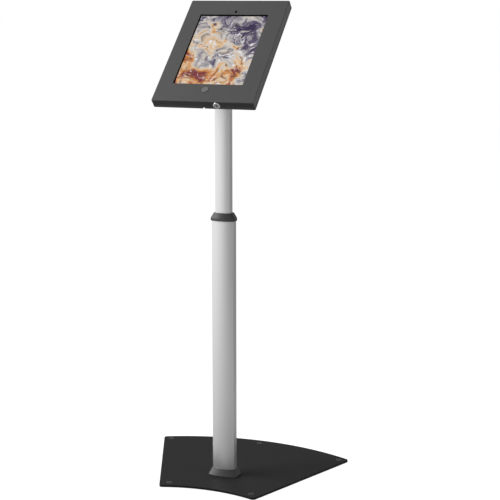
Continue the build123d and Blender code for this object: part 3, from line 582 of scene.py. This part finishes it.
def windowGasket():
    # A flattened round profile carried along a rectangle: each point of the profile is
    # its own slightly larger or smaller rectangle. Beside the home key the outer side is
    # pushed in to a circle.
    run = np.linspace(-1, 1, gasket["along"], endpoint=False)
    one = np.ones_like(run)
    sideX = np.concatenate([run, one, -run, -one])
    sideY = np.concatenate([-one, run, one, -run])
    turn = np.linspace(0, 2 * pi, gasket["round"], endpoint=False)[:, None]
    # The profile's places across and in depth, from -1/2 to 1/2
    wide, deep = [
        np.sign(wave) * np.abs(wave) ** gasket["squareness"] / 2
        for wave in (np.cos(turn), np.sin(turn))
    ]
    grow = wide * gasket["width"]
    x = tablet["centre"][0] + sideX * (gasket["half"][0] + grow)
    y = tablet["centre"][1] + sideY * (gasket["half"][1] + grow)
    nearKey = np.clip(gasket["clear"] ** 2 - (x - gasket["key"][0]) ** 2, 0, None)
    pushed = gasket["key"][1] + np.sqrt(nearKey)
    y = np.where(nearKey > 0, np.maximum(y, pushed), y)
    points = onPanel(x, y, gasket["front"] + (0.5 + deep) * gasket["thick"])
    faces = gridFaces(*x.shape, wrapRows=True, wrapCols=True)
    piece = makePiece("gasket_strip", "front_frame", "foam", points, faces)
    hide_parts("window_gasket")


windowGasket()
print("gasket made")

lens = {
    "centre": (0.0, 0.1106),
    # Radius and depth, from the middle of its front out and round to its back
    "rings": [(0.0, -0.0001), (0.0006, -0.00008), (0.001, 0.0), (0.0011, 0.0),
              (0.0012, -0.00015), (0.0019, -0.00015), (0.0021, -0.00005), (0.0021, 0.0002),
              (0.0, 0.0002)],
    "proud": 0.0002,    # from the glass out to the profile's zero depth
    "round": 48,
}


def cameraLens():
    # A profile of radius and depth turned round the lens's axis, closed at both ends
    radius, depth = np.array(lens["rings"]).T[:, :, None]
    turn = np.linspace(0, 2 * pi, lens["round"], endpoint=False)
    x = lens["centre"][0] + radius * np.cos(turn)
    y = lens["centre"][1] + radius * np.sin(turn)
    points = onPanel(x, y, tablet["glass"] - lens["proud"] + depth)
    faces = gridFaces(len(lens["rings"]), lens["round"], wrapCols=True)
    makePiece("tablet_lens", "panel", "borderGlass", points, faces)


cameraLens()
print("lens made")

# Studio. The camera sees plain white, and the stand's own light comes from a dim room, paler
# behind, a broad lamp on the left and a weaker one on the right, with painted light from a floor
# whose colour for the light it throws up is paler behind the stand. Reflections see bright walls,
# darker to the right, behind and at the ceiling, and a floor with painted shade, dark at the foot
# and to the right, and brighter further off. The right lamp shows in no reflection.
studio = {
    "floorHalf": 40.0,
    "floorPale": 0.82,    # the floor's colour for the camera
    "floorTone": 0.06,    # its colour for light that it throws up at the stand
    "floorBehindPaintedLight": 0.6,     # painted light: what that colour gains over the first metre behind the stand, to light its back, but not in reflections
    "floorMix": 0.7,      # the glow's share in what the camera sees of the floor
    "floorWhite": 1.36,
    # Painted shade in reflections: the glow's share at the foot and further off, and its fall per
    # metre, so that the floor is seen dark at the stand's foot and to the right
    "mirrorShadeNear": {"share": 0.22, "rightFall": 1.2, "least": 0.13},
    "mirrorShadeFar": {"share": 0.53, "rightFall": 0.25, "backFall": 0.3, "least": 0.22},
    "mirrorReach": 0.65,
    "ambient": 0.13,
    "behind": 0.6,
    "horizon": 0.86,
    "rightFall": 0.2,
    "backFall": 0.4,
    "ceiling": 0.25,
    "ceilingSlope": 2.2,
    "ceilingStart": 0.1,
    "lamps": {
        "left": {"place": (-2.2, -1.0, 2.4), "size": 1.8, "power": 84, "mirrored": True},
        "right": {"place": (2.8, -0.3, 1.1), "size": 1.6, "power": 32, "mirrored": False},
    },
    "aim": (0, 0, 0.6),
}


def rayKinds(paint):
    rays = paint.add("ShaderNodeLightPath").socket.node.outputs
    kinds = ("Is Camera Ray", "Is Glossy Ray", "Is Transmission Ray")
    return [Flow(paint, rays[kind]) for kind in kinds]


def floorPaint():
    paint = newPaint("floor")
    seen, glossy, through = rayKinds(paint)
    at = paint.add("ShaderNodeTexCoord", output=3)
    rightward = paint.along(at, 0)
    backward = paint.along(at, 1).held(0, 1)
    # Painted light: the floor's colour for light thrown up at the stand is paler behind it,
    # except in reflections
    bounced = (1 - glossy) * backward * studio["floorBehindPaintedLight"] + studio["floorTone"]
    pale = seen * (studio["floorPale"] - bounced) + bounced
    shade = paint.add("ShaderNodeBsdfDiffuse", {}, {"Color": pale})
    white = {"Color": grey(1.0), "Strength": studio["floorWhite"]}
    glow = paint.add("ShaderNodeEmission", {}, white)
    # Painted shade: the glow that reflections see is low at the stand's foot and to the right,
    # and rises to a share further off that is lower to the right and behind
    near, far = studio["mirrorShadeNear"], studio["mirrorShadeFar"]
    reach = paint.add("ShaderNodeVectorMath", {"operation": "LENGTH"}, {0: at}, output=1)
    ramp = (reach * (1 / studio["mirrorReach"])).held(0, 1)
    low = (near["share"] - rightward * near["rightFall"]).math("MAXIMUM", near["least"])
    high = far["share"] - rightward * far["rightFall"] - backward * far["backFall"]
    mirrored = low + ramp * (high.held(far["least"], 1) - low)
    factor = (seen + glossy * mirrored + through) * studio["floorMix"]
    mixed = paint.add("ShaderNodeMixShader", {}, {0: factor, 1: shade, 2: glow})
    paint.add("ShaderNodeOutputMaterial", {}, {"Surface": mixed})
    return paint.owner


def floorPlane():
    half = studio["floorHalf"]
    corners = [(-half, -half, 0), (half, -half, 0), (half, half, 0), (-half, half, 0)]
    mesh = bpy.data.meshes.new("floor")
    mesh.from_pydata(corners, [], [(0, 1, 2, 3)])
    mesh.materials.append(floorPaint())
    made = bpy.data.objects.new("floor", mesh)
    bpy.context.scene.collection.objects.link(made)


def studioWorld():
    world = bpy.data.worlds.new("studio")
    bpy.context.scene.world = world
    sky = Paint(world)
    seen, glossy, through = rayKinds(sky)
    facing = sky.add("ShaderNodeTexCoord")
    rightward, backward, height = [sky.along(facing, axis) for axis in range(3)]
    behind = backward.math("MAXIMUM", 0)
    ceiling = (height * studio["ceilingSlope"] - studio["ceilingStart"]).held(0, 1)
    wall = studio["horizon"] - rightward * studio["rightFall"] - behind * studio["backFall"]
    mirrored = (1 - ceiling * (1 - studio["ceiling"])) * wall
    ambient = behind * studio["behind"] + studio["ambient"]
    lit = glossy * mirrored + (1 - seen - through - glossy) * ambient
    strength = seen + through + lit
    glow = sky.add("ShaderNodeBackground", {}, {"Color": grey(1.0), "Strength": strength})
    sky.add("ShaderNodeOutputWorld", {}, {"Surface": glow})


def studioLamp(name, lamp):
    # A square lamp that faces the point studio["aim"]
    light = bpy.data.lights.new(name, "AREA")
    light.shape = "SQUARE"
    light.size = lamp["size"]
    light.energy = lamp["power"]
    lampObject = bpy.data.objects.new(name, light)
    lampObject.visible_glossy = lamp["mirrored"]
    lampObject.location = lamp["place"]
    away = np.array(lamp["place"]) - np.array(studio["aim"])
    tilt = np.arctan2(np.hypot(away[0], away[1]), away[2])
    lampObject.rotation_euler = (tilt, 0, np.arctan2(away[1], away[0]) + pi / 2)
    bpy.context.scene.collection.objects.link(lampObject)


floorPlane()
studioWorld()
for name, lamp in studio["lamps"].items():
    studioLamp(name, lamp)
bpy.context.scene.view_settings.view_transform = "Standard"
print("studio lit")
